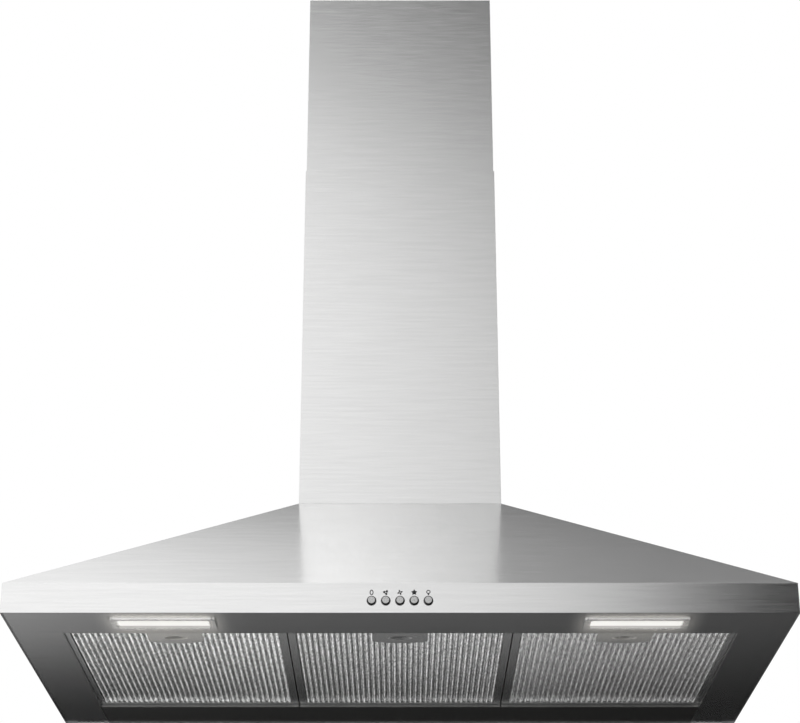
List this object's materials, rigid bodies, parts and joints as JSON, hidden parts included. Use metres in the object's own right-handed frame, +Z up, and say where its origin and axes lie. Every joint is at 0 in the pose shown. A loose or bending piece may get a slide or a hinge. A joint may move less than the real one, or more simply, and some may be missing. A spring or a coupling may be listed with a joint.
{
  "type": "chimney range hood",
  "caption": "Wall-mounted chimney range hood: pyramid canopy, telescopic chimney, hinged grease filters, push buttons, lamps, and a double-inlet blower with a damper inside.",
  "frame": {"origin": "centre of the four wall fixing holes, on the wall plane at the back of the rear panel", "axes": "+Z up along the chimney, +Y into the wall, +X to the user's right"},
  "size_m": [0.898, 0.5134, 0.995],
  "materials": {
    "stainless_steel": "brushed, grain along the width",
    "zinc_sheet": "zinc plated, dull",
    "filter_aluminium": "satin",
    "filter_mesh_aluminium": "expanded, bright",
    "polished_steel": "polished",
    "blower_plastic": "moulded, fine texture",
    "grey_plastic": "moulded",
    "white_board": "printed board",
    "lamp_diffuser": "frosted",
    "motor_casing": "die cast",
    "shaft_steel": "ground",
    "rubber_mount": "moulded",
    "screw_steel": "zinc plated",
    "lead_sheath": "smooth sheath"
  },
  "bodies": {
    "hood": {"canopy_shell": "stainless_steel", "rear_panel": "zinc_sheet", "base_panel": "stainless_steel", "rear_strip": "stainless_steel", "deck_plate": "zinc_sheet", "lower_chimney": "stainless_steel", "chimney_base_screws": "screw_steel", "blower_housing_left": "blower_plastic", "blower_housing_right": "blower_plastic", "blower_housing_screws": "screw_steel", "blower_fixing_screws": "screw_steel", "motor": "motor_casing", "motor_cradle": "zinc_sheet", "motor_mounts": "rubber_mount", "cradle_screws": "screw_steel", "inlet_guard": "blower_plastic", "outlet_transition": "blower_plastic", "damper_pin": "shaft_steel", "junction_box": "grey_plastic", "junction_box_lid": "grey_plastic", "junction_box_screws": "screw_steel", "cord_gland": "blower_plastic", "capacitor": "grey_plastic", "switch_box": "blower_plastic", "switch_bracket": "zinc_sheet", "switch_lead": "lead_sheath", "motor_lead": "lead_sheath", "lamp_leads": "lead_sheath", "lamp_bezel_left": "stainless_steel", "lamp_lens_left": "lamp_diffuser", "lamp_board_left": "white_board", "lamp_cover_left": "grey_plastic", "lamp_bezel_right": "stainless_steel", "lamp_lens_right": "lamp_diffuser", "lamp_board_right": "white_board", "lamp_cover_right": "grey_plastic"},
    "blower_wheel": {"impeller": "grey_plastic", "motor_shaft": "shaft_steel"},
    "damper_flap_front": {"damper_flap_front": "grey_plastic"},
    "damper_flap_rear": {"damper_flap_rear": "grey_plastic"},
    "upper_chimney": {"upper_chimney": "stainless_steel", "chimney_bracket": "zinc_sheet", "chimney_bracket_screws": "screw_steel"},
    "button_off": {"button_off": "polished_steel"},
    "button_speed_1": {"button_speed_1": "polished_steel"},
    "button_speed_2": {"button_speed_2": "polished_steel"},
    "button_speed_3": {"button_speed_3": "polished_steel"},
    "button_light": {"button_light": "polished_steel"},
    "filter_left": {"filter_frame_left": "filter_aluminium", "filter_mesh_left": "filter_mesh_aluminium", "filter_handle_left": "filter_aluminium"},
    "latch_left": {"filter_latch_left": "shaft_steel"},
    "filter_centre": {"filter_frame_centre": "filter_aluminium", "filter_mesh_centre": "filter_mesh_aluminium", "filter_handle_centre": "filter_aluminium"},
    "latch_centre": {"filter_latch_centre": "shaft_steel"},
    "filter_right": {"filter_frame_right": "filter_aluminium", "filter_mesh_right": "filter_mesh_aluminium", "filter_handle_right": "filter_aluminium"},
    "latch_right": {"filter_latch_right": "shaft_steel"}
  },
  "joints": [
    {"name": "wheel_spin", "type": "hinge", "parent": "hood", "child": "blower_wheel", "pos_m": [0, -0.115, 0.009], "axis": [1, 0, 0], "continuous": true},
    {"name": "flap_front_swing", "type": "hinge", "parent": "hood", "child": "damper_flap_front", "pos_m": [0, -0.12, 0.1592], "axis": [-1, 0, 0], "range_deg": [0, 78]},
    {"name": "flap_rear_swing", "type": "hinge", "parent": "hood", "child": "damper_flap_rear", "pos_m": [0, -0.12, 0.1592], "axis": [1, 0, 0], "range_deg": [0, 78]},
    {"name": "chimney_slide", "type": "slide", "parent": "hood", "child": "upper_chimney", "axis": [0, 0, 1], "range_m": [-0.25, 0.14]},
    {"name": "button_off_press", "type": "slide", "parent": "hood", "child": "button_off", "axis": [0, 1, 0], "range_m": [0, 0.003], "stiffness_N_per_m": 600, "springref_m": -0.001},
    {"name": "button_speed_1_press", "type": "slide", "parent": "hood", "child": "button_speed_1", "axis": [0, 1, 0], "range_m": [0, 0.003], "stiffness_N_per_m": 600, "springref_m": -0.001},
    {"name": "button_speed_2_press", "type": "slide", "parent": "hood", "child": "button_speed_2", "axis": [0, 1, 0], "range_m": [0, 0.003], "stiffness_N_per_m": 600, "springref_m": -0.001},
    {"name": "button_speed_3_press", "type": "slide", "parent": "hood", "child": "button_speed_3", "axis": [0, 1, 0], "range_m": [0, 0.003], "stiffness_N_per_m": 600, "springref_m": -0.001},
    {"name": "button_light_press", "type": "slide", "parent": "hood", "child": "button_light", "axis": [0, 1, 0], "range_m": [0, 0.003], "stiffness_N_per_m": 600, "springref_m": -0.001},
    {"name": "filter_left_tilt", "type": "hinge", "parent": "hood", "child": "filter_left", "pos_m": [-0.2637, -0.083, -0.1193], "axis": [1, 0, 0], "range_deg": [0, 70]},
    {"name": "latch_left_slide", "type": "slide", "parent": "filter_left", "child": "latch_left", "axis": [0, 1, 0], "range_m": [0, 0.004], "stiffness_N_per_m": 400, "springref_m": -0.003},
    {"name": "filter_centre_tilt", "type": "hinge", "parent": "hood", "child": "filter_centre", "pos_m": [0, -0.083, -0.1193], "axis": [1, 0, 0], "range_deg": [0, 70]},
    {"name": "latch_centre_slide", "type": "slide", "parent": "filter_centre", "child": "latch_centre", "axis": [0, 1, 0], "range_m": [0, 0.004], "stiffness_N_per_m": 400, "springref_m": -0.003},
    {"name": "filter_right_tilt", "type": "hinge", "parent": "hood", "child": "filter_right", "pos_m": [0.2637, -0.083, -0.1193], "axis": [1, 0, 0], "range_deg": [0, 70]},
    {"name": "latch_right_slide", "type": "slide", "parent": "filter_right", "child": "latch_right", "axis": [0, 1, 0], "range_m": [0, 0.004], "stiffness_N_per_m": 400, "springref_m": -0.003}
  ]
}
